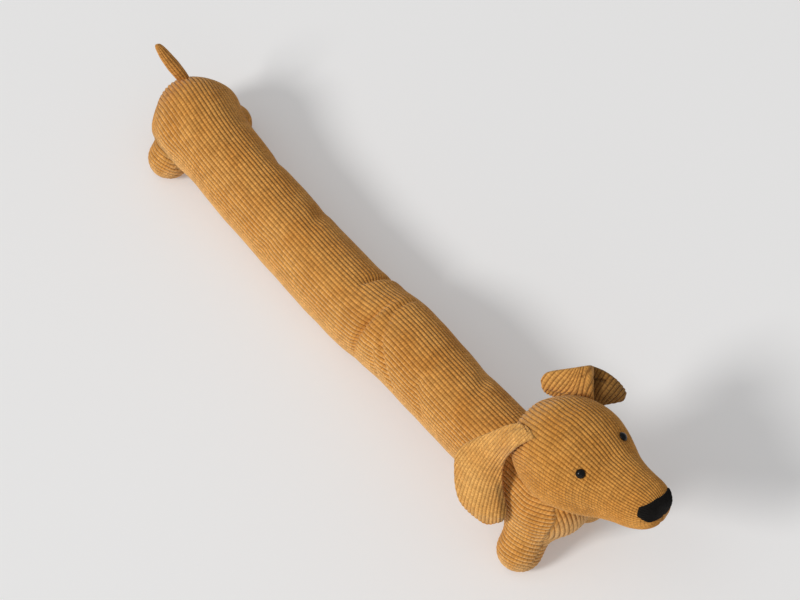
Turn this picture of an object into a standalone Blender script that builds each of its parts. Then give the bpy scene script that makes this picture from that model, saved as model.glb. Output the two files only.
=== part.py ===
"""Sausage-dog draught excluder: a long stuffed corduroy body lying on the floor, head to +X.

Metres, +Z up. The origin is on the flat underside of the body, +Y is the dog's left.
"""

import math

import bmesh
import bpy
import numpy as np
from mathutils import Matrix, Vector
from mathutils.bvhtree import BVHTree

# Driving sizes
GAP = 0.0003
SEAT_GAP = 0.0003
BODY_AROUND = 52
BODY_STEP = 0.0150
CREASED_STEP = 0.0057
CREASED_SPAN = (0.060, 0.180)
LEG_AROUND = 28
HEAD_AROUND = 48
TAIL_AROUND = 16
FLOOR = 0.0
BLEND_REACH = 0.018
LEG_FILLET_SHARE = 0.45

# Body stations, tail end first
BODY_COLUMNS = ("x", "y", "z", "half_width", "half_height")
BODY_STATIONS = (
    (-0.3200, 0.006, 0.0650, 0.0000, 0.0000),
    (-0.3180, 0.006, 0.0650, 0.0115, 0.0118),
    (-0.3120, 0.006, 0.0648, 0.0230, 0.0232),
    (-0.3020, 0.006, 0.0645, 0.0332, 0.0338),
    (-0.2880, 0.006, 0.0642, 0.0420, 0.0430),
    (-0.2700, 0.005, 0.0632, 0.0474, 0.0489),
    (-0.2500, 0.003, 0.0610, 0.0490, 0.0503),
    (-0.2250, 0.001, 0.0570, 0.0482, 0.0490),
    (-0.1900, 0.000, 0.0520, 0.0472, 0.0475),
    (-0.1500, 0.000, 0.0480, 0.0470, 0.0470),
    (-0.1000, 0.000, 0.0452, 0.0472, 0.0470),
    (-0.0500, 0.000, 0.0446, 0.0475, 0.0470),
    (0.0000, 0.000, 0.0445, 0.0478, 0.0470),
    (0.0500, 0.001, 0.0452, 0.0482, 0.0475),
    (0.0850, 0.002, 0.0500, 0.0490, 0.0485),
    (0.1200, 0.004, 0.0590, 0.0500, 0.0495),
    (0.1600, 0.004, 0.0650, 0.0490, 0.0490),
    (0.2000, 0.003, 0.0670, 0.0480, 0.0485),
    (0.2500, 0.003, 0.0680, 0.0472, 0.0480),
    (0.3000, 0.004, 0.0695, 0.0475, 0.0485),
    (0.3500, 0.005, 0.0715, 0.0485, 0.0495),
    (0.3850, 0.006, 0.0735, 0.0485, 0.0490),
    (0.4100, 0.006, 0.0745, 0.0465, 0.0465),
    (0.4300, 0.007, 0.0750, 0.0410, 0.0405),
    (0.4450, 0.007, 0.0750, 0.0320, 0.0315),
    (0.4540, 0.007, 0.0750, 0.0210, 0.0205),
    (0.4580, 0.007, 0.0750, 0.0110, 0.0110),
    (0.4595, 0.007, 0.0750, 0.0000, 0.0000),
)

# Creases of the long body: where, how far round from the top, depth and reach
CREASE_COLUMNS = ("x", "slant", "turn", "turn_reach", "depth", "reach")
BODY_CREASES = (
    (0.0755, 0.0100, 44.0, 38.0, 0.0048, 0.0065),
    (0.1117, -0.0048, -34.0, 46.0, 0.0040, 0.0065),
    (0.1640, -0.0240, -64.0, 26.0, 0.0034, 0.0080),
    (0.2245, -0.0146, -60.0, 26.0, 0.0022, 0.0100),
    (-0.0620, 0.0047, -54.0, 28.0, 0.0018, 0.0110),
    (-0.0510, -0.0117, 42.0, 36.0, 0.0026, 0.0110),
    (0.2590, -0.0150, 38.0, 36.0, 0.0026, 0.0120),
    (-0.1500, 0.0060, 72.0, 30.0, 0.0020, 0.0130),
)

# Haunches and shoulders, where the side of the body swells over each leg
BODY_SWELLS = (
    (-0.2680, 0.0, -112.0, 52.0, -0.0075, 0.0300),
    (-0.2640, 0.0, 112.0, 52.0, -0.0075, 0.0300),
    (0.4080, 0.0, -112.0, 50.0, -0.0045, 0.0280),
    (0.4060, 0.0, 112.0, 50.0, -0.0045, 0.0280),
)

# Legs, cut in one with the body
LEG_COLUMNS = ("hip", "foot", "hip_radius", "foot_radius")
LEGS = {
    "hind_right": ((-0.265, -0.013, 0.062), (-0.2635, -0.0410, 0.0235), 0.0250, 0.0255),
    "hind_left": ((-0.261, 0.022, 0.062), (-0.2580, 0.0480, 0.0235), 0.0250, 0.0252),
    "front_right": ((0.413, -0.013, 0.066), (0.4215, -0.0450, 0.0240), 0.0262, 0.0262),
    "front_left": ((0.412, 0.026, 0.066), (0.4190, 0.0540, 0.0240), 0.0260, 0.0260),
}

# Head, in its own frame: +X to the nose, +Z up
HEAD_AT = (0.4090, 0.0200, 0.1650)
HEAD_YAW = 9.0
HEAD_PITCH_UP = 14.0
HEAD_ROLL = -5.0
HEAD_COLUMNS = ("x", "y", "z", "half_width", "height_up", "height_down")
HEAD_STATIONS = (
    (-0.0570, 0.0000, 0.000, 0.0000, 0.0000, 0.0000),
    (-0.0552, 0.0000, 0.000, 0.0130, 0.0130, 0.0130),
    (-0.0495, 0.0000, 0.000, 0.0270, 0.0270, 0.0270),
    (-0.0390, 0.0003, 0.000, 0.0410, 0.0410, 0.0405),
    (-0.0220, 0.0006, 0.000, 0.0535, 0.0525, 0.0520),
    (-0.0020, 0.0009, 0.000, 0.0614, 0.0595, 0.0570),
    (0.0160, 0.0011, 0.000, 0.0636, 0.0595, 0.0570),
    (0.0340, 0.0012, 0.000, 0.0616, 0.0552, 0.0560),
    (0.0500, 0.0013, -0.001, 0.0562, 0.0484, 0.0542),
    (0.0660, 0.0015, -0.003, 0.0476, 0.0398, 0.0508),
    (0.0800, 0.0018, -0.005, 0.0400, 0.0326, 0.0466),
    (0.0940, 0.0021, -0.007, 0.0356, 0.0296, 0.0416),
    (0.1080, 0.0026, -0.009, 0.0333, 0.0276, 0.0364),
    (0.1220, 0.0031, -0.010, 0.0303, 0.0250, 0.0308),
    (0.1340, 0.0036, -0.011, 0.0243, 0.0200, 0.0234),
    (0.1410, 0.0039, -0.012, 0.0147, 0.0125, 0.0139),
    (0.1440, 0.0039, -0.012, 0.0000, 0.0000, 0.0000),
)

# Ears: rows from the root to the tip, then across each row
EAR_THICKNESS = 0.0052
EAR_EDGE_THICKNESS = 0.0024
HANGING_EAR_ROWS = (
    dict(back=(0.394, -0.012, 0.212), middle=(0.399, -0.014, 0.209), front=(0.404, -0.014, 0.205)),
    dict(back=(0.366, -0.014, 0.196), middle=(0.378, -0.026, 0.198), front=(0.395, -0.032, 0.194)),
    dict(back=(0.343, -0.035, 0.165), middle=(0.363, -0.044, 0.159), front=(0.380, -0.038, 0.146)),
    dict(back=(0.332, -0.058, 0.140), middle=(0.362, -0.059, 0.132), front=(0.385, -0.047, 0.116)),
    dict(back=(0.338, -0.076, 0.115), middle=(0.370, -0.069, 0.109), front=(0.395, -0.053, 0.094)),
    dict(back=(0.355, -0.083, 0.092), middle=(0.384, -0.073, 0.089), front=(0.406, -0.057, 0.081)),
    dict(back=(0.374, -0.081, 0.076), middle=(0.389, -0.074, 0.073), front=(0.400, -0.066, 0.068)),
)
FOLDED_EAR_ROWS = (
    dict(lower=(0.342, 0.047, 0.176), middle=(0.339, 0.048, 0.181), upper=(0.336, 0.049, 0.184)),
    dict(lower=(0.348, 0.051, 0.170), middle=(0.345, 0.051, 0.185), upper=(0.336, 0.057, 0.195)),
    dict(lower=(0.360, 0.062, 0.164), middle=(0.361, 0.064, 0.187), upper=(0.352, 0.076, 0.205)),
    dict(lower=(0.377, 0.072, 0.164), middle=(0.373, 0.075, 0.189), upper=(0.360, 0.089, 0.207)),
    dict(lower=(0.391, 0.078, 0.168), middle=(0.380, 0.086, 0.190), upper=(0.363, 0.096, 0.205)),
    dict(lower=(0.396, 0.082, 0.166), middle=(0.378, 0.092, 0.177), upper=(0.363, 0.103, 0.190)),
    dict(lower=(0.394, 0.092, 0.162), middle=(0.386, 0.102, 0.176), upper=(0.373, 0.112, 0.187)),
    dict(lower=(0.395, 0.103, 0.159), middle=(0.394, 0.111, 0.171), upper=(0.384, 0.120, 0.176)),
    dict(lower=(0.398, 0.111, 0.158), middle=(0.398, 0.117, 0.165), upper=(0.392, 0.123, 0.166)),
    dict(lower=(0.398, 0.116, 0.157), middle=(0.398, 0.119, 0.159), upper=(0.396, 0.122, 0.160)),
)

# Tail
TAIL_COLUMNS = ("x", "y", "z", "half_width", "half_height")
TAIL_STATIONS = (
    (-0.290, 0.019, 0.082, 0.0000, 0.0000),
    (-0.293, 0.018, 0.085, 0.0070, 0.0065),
    (-0.299, 0.016, 0.090, 0.0082, 0.0072),
    (-0.307, 0.013, 0.101, 0.0084, 0.0072),
    (-0.316, 0.009, 0.114, 0.0078, 0.0066),
    (-0.324, 0.005, 0.127, 0.0066, 0.0056),
    (-0.330, 0.002, 0.138, 0.0050, 0.0044),
    (-0.333, 0.000, 0.144, 0.0032, 0.0030),
    (-0.334, 0.000, 0.146, 0.0000, 0.0000),
)

# Face
EYE_RADIUS = 0.0060
EYE_HALF_THICKNESS = 0.0042
EYE_FORWARD = 0.0600
EYE_SIDE = 0.0348
NOSE_FROM = (0.1180, 0.0031, -0.011)
NOSE_TURN = 64.0
NOSE_LIFT = 18.0
NOSE_LIFT_REACH = 27.0
NOSE_THICKNESS = 0.0016


def smooth_rows(rows, at):
    """Columns of a table at the given values of its first column, without overshoot."""
    rows = np.array(rows, float)
    key = rows[:, 0]
    at = np.clip(np.asarray(at, float), key[0], key[-1])
    steps = np.diff(key)
    found = [at]
    for column in rows.T[1:]:
        slopes = np.diff(column) / steps
        before = np.concatenate([slopes[:1], slopes])
        after = np.concatenate([slopes, slopes[-1:]])
        left = np.concatenate([steps[:1], steps])
        right = np.concatenate([steps, steps[-1:]])
        mean = (right * before + left * after) / (left + right)
        least = 2.5 * np.minimum(np.abs(before), np.abs(after))
        tangent = np.where(before * after > 0, np.sign(mean) * np.minimum(np.abs(mean), least), 0.0)
        index = np.clip(np.searchsorted(key, at, side="right") - 1, 0, len(key) - 2)
        share = (at - key[index]) / steps[index]
        h00 = 2 * share**3 - 3 * share**2 + 1
        h10 = share**3 - 2 * share**2 + share
        h01 = 3 * share**2 - 2 * share**3
        h11 = share**3 - share**2
        value = h00 * column[index] + h01 * column[index + 1]
        value = value + steps[index] * (h10 * tangent[index] + h11 * tangent[index + 1])
        found.append(value)
    return found


def end_radius(rows, at, column):
    """A radius column read through its square, so that the two ends close round."""
    squared = [(row[0], row[column] ** 2) for row in rows]
    return np.sqrt(np.maximum(smooth_rows(squared, at)[1], 0.0))


def shaft_positions(rows, step, ends, close_span=None, close_step=None):
    """Places along a table's first column: evenly spaced, closer at its two ends and in the span."""
    start, stop = rows[0][0], rows[-1][0]
    turn = np.linspace(0.0, math.pi / 2, ends + 1)[1:]
    near = start + 0.055 * (1 - np.cos(turn))
    far = stop - 0.055 * (1 - np.cos(turn))[::-1]
    marks = [near[-1], far[0]]
    steps = [step]
    if close_span:
        marks = [near[-1], *close_span, far[0]]
        steps = [step, close_step, step]
    middle = []
    for begin, end, each in zip(marks, marks[1:], steps):
        count = max(2, int(round((end - begin) / each)))
        middle.append(np.linspace(begin, end, count + 1)[1:])
    return np.concatenate([near, *middle, far[1:]])


def mesh_object(name, points, faces, collection, material=None):
    mesh = bpy.data.meshes.new(name)
    mesh.from_pydata([tuple(point) for point in points], [], [tuple(face) for face in faces])
    shape = bmesh.new()
    shape.from_mesh(mesh)
    bmesh.ops.recalc_face_normals(shape, faces=shape.faces)
    if shape.calc_volume(signed=True) < 0:
        bmesh.ops.reverse_faces(shape, faces=shape.faces)
    shape.to_mesh(mesh)
    shape.free()
    made = bpy.data.objects.new(name, mesh)
    collection.objects.link(made)
    if material:
        mesh.materials.append(material)
    return made


def loft_faces(rings, around):
    """Faces of rings one after the other, with a pole before the first and after the last."""
    faces = []
    last = 1 + rings * around
    for side in range(around):
        after = (side + 1) % around
        faces.append((0, 1 + after, 1 + side))
        end = 1 + (rings - 1) * around
        faces.append((end + side, end + after, last))
        for ring in range(rings - 1):
            here = 1 + ring * around
            there = here + around
            faces.append((here + side, here + after, there + after, there + side))
    return faces


def ring_turns(around):
    return np.arange(around) * (2 * math.pi / around)


def body_dents(x, turn):
    """How far the creases and swells sink the surface. The turn is in degrees from the top to the left."""
    sunk = np.zeros_like(x)
    for at, slant, side, side_reach, depth, reach in BODY_CREASES + BODY_SWELLS:
        off = (turn - side + 180.0) % 360.0 - 180.0
        along = (x - at - slant * off / side_reach) / reach
        sunk = sunk + depth * np.exp(-(along**2)) * np.exp(-((off / side_reach) ** 4))
    return sunk


def body_distance(points):
    """Roughly how far outside the long body each point is."""
    y, z = smooth_rows([row[:3] for row in BODY_STATIONS], points[:, 0])[1:]
    wide = end_radius(BODY_STATIONS, points[:, 0], 3)
    return np.hypot(points[:, 1] - y, points[:, 2] - z) - wide


def leg_distance(points, leg):
    hip, foot, hip_radius, foot_radius = (np.array(value, float) for value in leg)
    axis = foot - hip
    share = np.clip((points - hip) @ axis / (axis @ axis), 0.0, 1.0)
    reach = hip_radius + (foot_radius - hip_radius) * share
    return np.linalg.norm(points - hip - share[:, None] * axis, axis=1) - reach


def fillet(distance):
    """Extra stuffing where two surfaces meet."""
    return 0.25 * BLEND_REACH * np.maximum(0.0, 1.0 - np.abs(distance) / BLEND_REACH) ** 2


def body_points(grow=0.0):
    x = shaft_positions(BODY_STATIONS, BODY_STEP, 7, CREASED_SPAN, CREASED_STEP)
    inner = x[:-1]
    y, z = smooth_rows([row[:3] for row in BODY_STATIONS], inner)[1:]
    wide = end_radius(BODY_STATIONS, inner, 3)
    tall = end_radius(BODY_STATIONS, inner, 4)
    turn = ring_turns(BODY_AROUND)
    out_y = np.sin(turn)[None, :] * np.ones((len(inner), 1))
    out_z = np.cos(turn)[None, :] * np.ones((len(inner), 1))
    all_x = inner[:, None] * np.ones((1, BODY_AROUND))
    points = np.stack([all_x, y[:, None] + wide[:, None] * out_y, z[:, None] + tall[:, None] * out_z], 2)
    flat = points.reshape(-1, 3)
    push = np.zeros(len(flat))
    for leg in LEGS.values():
        push = np.maximum(push, fillet(leg_distance(flat, leg)))
    push = push - body_dents(flat[:, 0], np.degrees(np.tile(turn, len(inner))))
    outward = np.stack([np.zeros(len(flat)), out_y.ravel(), out_z.ravel()], 1)
    edge = np.concatenate([[0.0], inner, [BODY_STATIONS[-1][0]]])
    edge[0] = BODY_STATIONS[0][0]
    radius = np.concatenate([[0.0], wide, [0.0]])
    lean = np.gradient(radius, edge)[1:-1]
    tilt = np.clip(lean, -4.0, 4.0)
    outward[:, 0] = -np.repeat(tilt, BODY_AROUND)
    outward = outward / np.linalg.norm(outward, axis=1)[:, None]
    flat = flat + outward * (push + grow)[:, None]
    first = (BODY_STATIONS[0][0] - grow, BODY_STATIONS[0][1], BODY_STATIONS[0][2])
    last = (BODY_STATIONS[-1][0] + grow, BODY_STATIONS[-1][1], BODY_STATIONS[-1][2])
    flat = np.concatenate([[first], flat, [last]])
    if grow == 0.0:
        flat[:, 2] = np.maximum(flat[:, 2], FLOOR)
    return flat, len(inner)


def leg_points(leg):
    hip, foot, hip_radius, foot_radius = (np.array(value, float) for value in leg)
    axis = foot - hip
    length = np.linalg.norm(axis)
    down = axis / length
    side = np.cross(down, (1.0, 0.0, 0.0))
    side = side / np.linalg.norm(side)
    front = np.cross(side, down)
    turn = ring_turns(LEG_AROUND)
    rings = []
    for lift in np.radians((70, 45, 20)):
        rings.append((-hip_radius * math.sin(lift), hip_radius * math.cos(lift)))
    for share in np.linspace(0.0, 1.0, 6):
        rings.append((share * length, hip_radius + (foot_radius - hip_radius) * share))
    for lift in np.radians((14, 28, 42, 56, 70, 80)):
        rings.append((length + foot_radius * math.sin(lift), foot_radius * math.cos(lift)))
    points = [hip - down * hip_radius]
    for along, radius in rings:
        for angle in turn:
            points.append(hip + down * along + radius * (side * math.cos(angle) + front * math.sin(angle)))
    points.append(foot + down * foot_radius)
    points = np.array(points)
    middle = hip + np.clip((points - hip) @ down, 0.0, length)[:, None] * down
    outward = points - middle
    outward = outward / np.maximum(np.linalg.norm(outward, axis=1), 1e-9)[:, None]
    points = points + outward * (LEG_FILLET_SHARE * fillet(body_distance(points)))[:, None]
    points[:, 2] = np.maximum(points[:, 2], FLOOR)
    return points, len(rings)


def head_points():
    x = shaft_positions(HEAD_STATIONS, 0.008, 7)[:-1]
    y, z = smooth_rows([row[:3] for row in HEAD_STATIONS], x)[1:]
    wide = end_radius(HEAD_STATIONS, x, 3)
    rise = end_radius(HEAD_STATIONS, x, 4)
    drop = end_radius(HEAD_STATIONS, x, 5)
    turn = ring_turns(HEAD_AROUND)
    sin, cos = np.sin(turn), np.cos(turn)
    tall = np.where(cos[None, :] > 0, rise[:, None], drop[:, None])
    points = np.stack(
        [
            x[:, None] + 0 * tall,
            y[:, None] + wide[:, None] * sin[None, :] + 0 * tall,
            z[:, None] + tall * cos[None, :],
        ],
        2,
    ).reshape(-1, 3)
    points = np.concatenate([[HEAD_STATIONS[0][:3]], points, [HEAD_STATIONS[-1][:3]]])
    return points, len(x)


def grown(made, by):
    """Moves each point of a mesh out along its normal."""
    mesh = made.data
    normals = [Vector(vertex.normal) for vertex in mesh.vertices]
    for vertex, normal in zip(mesh.vertices, normals):
        vertex.co = vertex.co + normal * by
    mesh.update()


def curve_through(points, count):
    """Catmull-Rom through the points, evenly shared out."""
    points = np.array(points, float)
    padded = np.concatenate([[2 * points[0] - points[1]], points, [2 * points[-1] - points[-2]]])
    found = []
    for at in np.linspace(0, len(points) - 1, count):
        index = min(int(at), len(points) - 2)
        share = at - index
        p0, p1, p2, p3 = padded[index : index + 4]
        found.append(
            0.5
            * (
                2 * p1
                + (p2 - p0) * share
                + (2 * p0 - 5 * p1 + 4 * p2 - p3) * share**2
                + (3 * p1 - p0 - 3 * p2 + p3) * share**3
            )
        )
    return np.array(found)


def ear_object(name, rows, edges, along, across, collection, material):
    """A padded cloth piece: a middle surface from the rows, thinner towards its edge."""
    first, last = edges
    lines = [curve_through([row[first] for row in rows], along)]
    lines.append(curve_through([row["middle"] for row in rows], along))
    lines.append(curve_through([row[last] for row in rows], along))
    grid = np.array([curve_through([line[i] for line in lines], across) for i in range(along)])
    run = np.gradient(grid, axis=0)
    over = np.gradient(grid, axis=1)
    normal = np.cross(run, over)
    normal = normal / np.linalg.norm(normal, axis=2)[:, :, None]
    u = np.linspace(0, 1, along)[:, None] * np.ones((1, across))
    v = np.linspace(0, 1, across)[None, :] * np.ones((along, 1))
    inside = np.minimum(1.0, 4.5 * np.minimum(np.minimum(v, 1 - v), np.minimum(u, 1 - u) * 2.0))
    thick = EAR_EDGE_THICKNESS + (EAR_THICKNESS - EAR_EDGE_THICKNESS) * np.sqrt(inside)
    top = grid + normal * thick[:, :, None] / 2
    low = grid - normal * thick[:, :, None] / 2
    return slab_object(name, top, low, collection, material)


def slab_object(name, top, low, collection, material):
    along, across = top.shape[:2]
    points = np.concatenate([top.reshape(-1, 3), low.reshape(-1, 3)])
    under = along * across
    faces = []
    for i in range(along - 1):
        for j in range(across - 1):
            a = i * across + j
            b = a + across
            faces.append((a, a + 1, b + 1, b))
            faces.append((under + a, under + b, under + b + 1, under + a + 1))
    for i in range(along - 1):
        for j in (0, across - 1):
            a = i * across + j
            faces.append((a, a + across, under + a + across, under + a))
    for j in range(across - 1):
        for i in (0, along - 1):
            a = i * across + j
            faces.append((a, a + 1, under + a + 1, under + a))
    return mesh_object(name, points, faces, collection, material)


def tail_object(collection, material):
    stations = np.array(TAIL_STATIONS)
    centre = curve_through(stations[:, :3], 17)
    spread = np.linspace(0, len(stations) - 1, 17)
    wide = np.sqrt(np.interp(spread, range(len(stations)), stations[:, 3] ** 2))
    tall = np.sqrt(np.interp(spread, range(len(stations)), stations[:, 4] ** 2))
    run = np.gradient(centre, axis=0)
    run = run / np.linalg.norm(run, axis=1)[:, None]
    points = [centre[0]]
    for i in range(1, len(centre) - 1):
        side = np.cross(run[i], (0.0, 1.0, 0.0))
        side = side / np.linalg.norm(side)
        over = np.cross(side, run[i])
        for angle in ring_turns(TAIL_AROUND):
            points.append(centre[i] + side * tall[i] * math.cos(angle) + over * wide[i] * math.sin(angle))
    points.append(centre[-1])
    faces = loft_faces(len(centre) - 2, TAIL_AROUND)
    return mesh_object("tail", points, faces, collection, material)


def head_surface(forward, sideways):
    """The point of the upper head at this place, and its normal, in the head's frame."""
    def height(x, y):
        middle, z = smooth_rows([row[:3] for row in HEAD_STATIONS], [x])[1:]
        wide = end_radius(HEAD_STATIONS, [x], 3)[0]
        rise = end_radius(HEAD_STATIONS, [x], 4)[0]
        return z[0] + rise * math.sqrt(max(0.0, 1 - ((y - middle[0]) / wide) ** 2))

    small = 0.001
    z = height(forward, sideways)
    slope_x = (height(forward + small, sideways) - height(forward - small, sideways)) / (2 * small)
    slope_y = (height(forward, sideways + small) - height(forward, sideways - small)) / (2 * small)
    return Vector((forward, sideways, z)), Vector((-slope_x, -slope_y, 1.0)).normalized()


def eye_object(name, side, frame, collection, material):
    at, normal = head_surface(EYE_FORWARD, side * EYE_SIDE)
    shape = bmesh.new()
    bmesh.ops.create_uvsphere(shape, u_segments=24, v_segments=12, radius=1.0)
    shape.transform(Matrix.Diagonal((EYE_RADIUS, EYE_RADIUS, EYE_HALF_THICKNESS, 1.0)))
    mesh = bpy.data.meshes.new(name)
    shape.to_mesh(mesh)
    shape.free()
    mesh.materials.append(material)
    made = bpy.data.objects.new(name, mesh)
    turned = normal.to_track_quat("Z", "Y").to_matrix().to_4x4()
    made.matrix_world = frame @ Matrix.Translation(at) @ turned
    collection.objects.link(made)
    return made


def nose_object(head, frame, collection, material):
    """The patch wrapped over the tip of the muzzle, a little off its surface."""
    mesh = head.data
    tree = BVHTree.FromPolygons(
        [vertex.co.copy() for vertex in mesh.vertices], [tuple(face.vertices) for face in mesh.polygons]
    )
    start = Vector(NOSE_FROM)
    count = 15
    low, top = [], []
    for a in np.linspace(-1, 1, count):
        low_row, top_row = [], []
        for b in np.linspace(-1, 1, count):
            turn = a * math.sqrt(1 - 0.30 * b * b)
            lift = b * math.sqrt(1 - 0.30 * a * a)
            narrow = 1.0 - 0.34 * max(0.0, -lift)
            yaw = math.radians(NOSE_TURN * turn * narrow)
            pitch = math.radians(NOSE_LIFT + NOSE_LIFT_REACH * lift - 7.0 * turn * turn * lift)
            way = Vector((math.cos(pitch) * math.cos(yaw), math.cos(pitch) * math.sin(yaw), math.sin(pitch)))
            hit = tree.ray_cast(start, way)[0]
            low_row.append(hit - way * GAP)
            top_row.append(hit + way * (GAP + NOSE_THICKNESS))
        low.append([tuple(frame @ point) for point in low_row])
        top.append([tuple(frame @ point) for point in top_row])
    return slab_object("nose", np.array(top), np.array(low), collection, material)


def cut(made, tool, operation):
    modifier = made.modifiers.new(tool.name, "BOOLEAN")
    modifier.operation = operation
    modifier.object = tool
    modifier.solver = "EXACT"


def cloth(name, colour, roughness):
    material = bpy.data.materials.new(name)
    material.use_nodes = True
    shader = material.node_tree.nodes["Principled BSDF"]
    shader.inputs["Base Color"].default_value = (*colour, 1.0)
    shader.inputs["Roughness"].default_value = roughness
    shader.inputs["Metallic"].default_value = 0.0
    return material


def build():
    for item in list(bpy.data.objects):
        bpy.data.objects.remove(item, do_unlink=True)
    parts = bpy.data.collections.new("draught_excluder")
    tools = bpy.data.collections.new("cutters")
    bpy.context.scene.collection.children.link(parts)
    bpy.context.scene.collection.children.link(tools)

    body_cloth = cloth("body_corduroy", (0.45, 0.21, 0.055), 0.92)
    head_cloth = cloth("head_corduroy", (0.46, 0.21, 0.055), 0.92)
    ear_right_cloth = cloth("hanging_ear_corduroy", (0.52, 0.27, 0.08), 0.92)
    ear_left_cloth = cloth("folded_ear_corduroy", (0.50, 0.25, 0.08), 0.92)
    tail_cloth = cloth("tail_corduroy", (0.42, 0.19, 0.05), 0.92)
    nose_cloth = cloth("nose_cloth", (0.012, 0.010, 0.009), 0.85)
    right_button = cloth("right_eye_plastic", (0.008, 0.007, 0.007), 0.18)
    left_button = cloth("left_eye_plastic", (0.008, 0.007, 0.007), 0.18)

    frame = (
        Matrix.Translation(HEAD_AT)
        @ Matrix.Rotation(math.radians(HEAD_YAW), 4, "Z")
        @ Matrix.Rotation(-math.radians(HEAD_PITCH_UP), 4, "Y")
        @ Matrix.Rotation(math.radians(HEAD_ROLL), 4, "X")
    )

    points, rings = head_points()
    head = mesh_object("head", points, loft_faces(rings, HEAD_AROUND), parts, head_cloth)
    head.matrix_world = frame
    clear = mesh_object("head_clearance", points, loft_faces(rings, HEAD_AROUND), tools)
    clear.matrix_world = frame
    grown(clear, SEAT_GAP)

    points, rings = body_points()
    body = mesh_object("body", points, loft_faces(rings, BODY_AROUND), parts, body_cloth)
    for name, leg in LEGS.items():
        leg_points_found, leg_rings = leg_points(leg)
        made = mesh_object("leg_" + name, leg_points_found, loft_faces(leg_rings, LEG_AROUND), tools)
        cut(body, made, "UNION")
    cut(body, clear, "DIFFERENCE")

    points, rings = body_points(SEAT_GAP)
    rump = mesh_object("body_clearance", points, loft_faces(rings, BODY_AROUND), tools)
    tail = tail_object(parts, tail_cloth)
    cut(tail, rump, "DIFFERENCE")

    edges = ("back", "front")
    hanging = ear_object("ear_right", HANGING_EAR_ROWS, edges, 25, 15, parts, ear_right_cloth)
    cut(hanging, clear, "DIFFERENCE")
    edges = ("lower", "upper")
    folded = ear_object("ear_left", FOLDED_EAR_ROWS, edges, 31, 13, parts, ear_left_cloth)
    cut(folded, clear, "DIFFERENCE")

    right = eye_object("eye_right", -1.0, frame, parts, right_button)
    left = eye_object("eye_left", 1.0, frame, parts, left_button)
    for eye in (right, left):
        cut(eye, clear, "DIFFERENCE")
    nose = nose_object(head, frame, parts, nose_cloth)
    cut(nose, clear, "DIFFERENCE")

    for tool in tools.objects:
        tool.hide_render = True
        tool.display_type = "WIRE"


build()
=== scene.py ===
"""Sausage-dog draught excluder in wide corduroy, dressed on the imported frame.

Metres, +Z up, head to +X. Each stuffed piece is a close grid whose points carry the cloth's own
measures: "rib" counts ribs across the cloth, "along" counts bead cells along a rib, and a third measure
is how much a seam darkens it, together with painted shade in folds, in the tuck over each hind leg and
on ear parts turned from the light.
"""

import math
from math import pi, radians

import bpy
import numpy as np
from mathutils import Matrix, Vector
from mathutils.bvhtree import BVHTree

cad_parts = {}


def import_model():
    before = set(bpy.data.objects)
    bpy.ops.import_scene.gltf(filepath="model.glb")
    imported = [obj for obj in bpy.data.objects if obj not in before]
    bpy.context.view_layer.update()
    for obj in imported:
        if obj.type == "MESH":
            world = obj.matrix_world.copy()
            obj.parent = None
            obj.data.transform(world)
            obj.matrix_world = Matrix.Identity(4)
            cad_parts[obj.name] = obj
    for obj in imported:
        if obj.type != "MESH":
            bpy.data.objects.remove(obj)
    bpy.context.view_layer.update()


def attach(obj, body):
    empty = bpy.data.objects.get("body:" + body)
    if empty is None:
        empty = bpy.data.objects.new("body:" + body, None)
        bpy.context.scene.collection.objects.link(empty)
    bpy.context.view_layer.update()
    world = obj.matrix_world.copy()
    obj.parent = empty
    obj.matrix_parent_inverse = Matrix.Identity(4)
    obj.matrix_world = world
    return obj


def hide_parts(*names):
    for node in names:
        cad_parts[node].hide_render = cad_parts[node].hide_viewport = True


# Sizes in metres. PITCH is a rib's width, CELL a bead's length, SAMPLES the points across a rib
RIB_HEIGHT = 0.0016
BODY_RADIUS = 0.048
BODY_RIBS = 60
PITCH = 2 * pi * BODY_RADIUS / BODY_RIBS
CELL = 0.0036
SAMPLES = 5
# Softness of a leg's join, height of resting cloth, gap where the body meets the head
BLEND, FLOOR, HEAD_GAP = 0.016, 0.0004, 0.0008
# A seam's half width, its depth on body and head, depth of the tuck over a hind leg
SEAM_REACH, BODY_SEAM_DEPTH, HEAD_SEAM_DEPTH, TUCK_DEPTH = 0.0016, 0.0013, 0.0012, 0.0022
SEAM_CALM = 0.6
# Faces deeper than this in a neighbouring skin are left out
HIDDEN_DEPTH, TAIL_HIDDEN_DEPTH = 0.0045, 0.0015
STEEPEST = 6
# Soft unevenness of the filling: height, size and seed
SWELL_WAVES = 14
BODY_SWELL, HEAD_SWELL, EAR_SWELL = (0.00045, 0.045, 7), (0.00035, 0.04, 11), (0.0006, 0.03, 3)

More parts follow.
